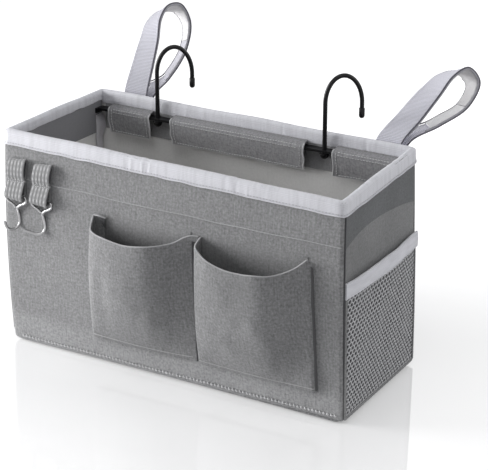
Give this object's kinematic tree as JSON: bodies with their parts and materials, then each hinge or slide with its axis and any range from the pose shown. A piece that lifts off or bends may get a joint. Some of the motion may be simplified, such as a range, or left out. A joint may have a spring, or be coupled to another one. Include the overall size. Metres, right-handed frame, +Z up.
{
  "type": "bedside caddy",
  "caption": "Open cloth caddy that hangs from a bed rail by swivelling wire hooks and looped straps, with pleated front pockets, hook tabs and a net end pocket.",
  "frame": {"origin": "middle of the flat underside, at floor level", "axes": "+Z up, +X to the right of someone facing the pockets, the front with the pockets faces -Y"},
  "size_m": [0.3481, 0.264, 0.2704],
  "materials": {
    "cloth": "matte linen-look weave",
    "board": "plain extruded sheet",
    "base_board": "cloth-covered stiff board",
    "lining": "smooth coated lining",
    "binding": "soft pale tape, gathered and edge-stitched",
    "black_steel": "gloss black enamel",
    "black_cap": "dipped gloss cap",
    "bright_steel": "bright nickel wire",
    "strap_tape": "woven pale lilac tape",
    "strap_pile": "short white pile",
    "net": "knitted net",
    "webbing": "ribbed webbing"
  },
  "bodies": {
    "caddy": {"front_panel": "cloth", "back_panel": "cloth", "left_panel": "cloth", "right_panel": "cloth", "bottom_panel": "cloth", "front_facing": "cloth", "rail_backing": "cloth", "back_facing_left": "cloth", "back_facing_middle": "cloth", "back_facing_right": "cloth", "pocket_left": "cloth", "pocket_right": "cloth", "front_board": "board", "back_board": "board", "left_board": "board", "right_board": "board", "front_lining": "lining", "back_lining": "lining", "left_lining": "lining", "right_lining": "lining", "bottom_lining": "lining", "rim_binding": "binding", "mesh_pocket_binding": "binding", "rail_bar": "black_steel", "strap_patch_left": "strap_tape", "strap_patch_right": "strap_tape", "corner_tape_left": "strap_tape", "corner_tape_right": "strap_tape", "mesh_pocket": "net", "tab_loop_left": "webbing", "tab_loop_right": "webbing"},
    "base_board_body": {"base_board": "base_board"},
    "rail_hook_left_body": {"rail_hook_left": "black_steel", "hook_nut_left": "black_steel", "hook_tip_left": "black_cap"},
    "rail_hook_right_body": {"rail_hook_right": "black_steel", "hook_nut_right": "black_steel", "hook_tip_right": "black_cap"},
    "strap_left_body": {"strap_left": "strap_tape", "strap_pile_left": "strap_pile"},
    "strap_right_body": {"strap_right": "strap_tape", "strap_pile_right": "strap_pile"},
    "accessory_hook_left_body": {"accessory_hook_left": "bright_steel"},
    "accessory_hook_right_body": {"accessory_hook_right": "bright_steel"}
  },
  "joints": [
    {"name": "rail_hook_left_swivel", "type": "hinge", "parent": "caddy", "child": "rail_hook_left_body", "pos_m": [-0.094, 0.06, 0.186], "axis": [0, 0, 1], "range_deg": [-200, 70]},
    {"name": "rail_hook_right_swivel", "type": "hinge", "parent": "caddy", "child": "rail_hook_right_body", "pos_m": [0.079, 0.06, 0.186], "axis": [0, 0, 1], "continuous": true},
    {"name": "strap_left_fold", "type": "hinge", "parent": "caddy", "child": "strap_left_body", "pos_m": [-0.1273, 0.0727, 0.1875], "axis": [-1, 0, 0], "range_deg": [0, 95]},
    {"name": "strap_right_fold", "type": "hinge", "parent": "caddy", "child": "strap_right_body", "pos_m": [0.133, 0.0727, 0.1875], "axis": [-1, 0, 0], "range_deg": [0, 95]},
    {"name": "accessory_hook_left_swing", "type": "hinge", "parent": "caddy", "child": "accessory_hook_left_body", "pos_m": [-0.1565, -0.0748, 0.1424], "axis": [-1, 0, 0], "range_deg": [0, 80]},
    {"name": "accessory_hook_right_swing", "type": "hinge", "parent": "caddy", "child": "accessory_hook_right_body", "pos_m": [-0.129, -0.0748, 0.1424], "axis": [-1, 0, 0], "range_deg": [0, 80]},
    {"name": "base_board_lift", "type": "slide", "parent": "caddy", "child": "base_board_body", "axis": [0, 0, 1], "range_m": [0, 0.15]}
  ]
}
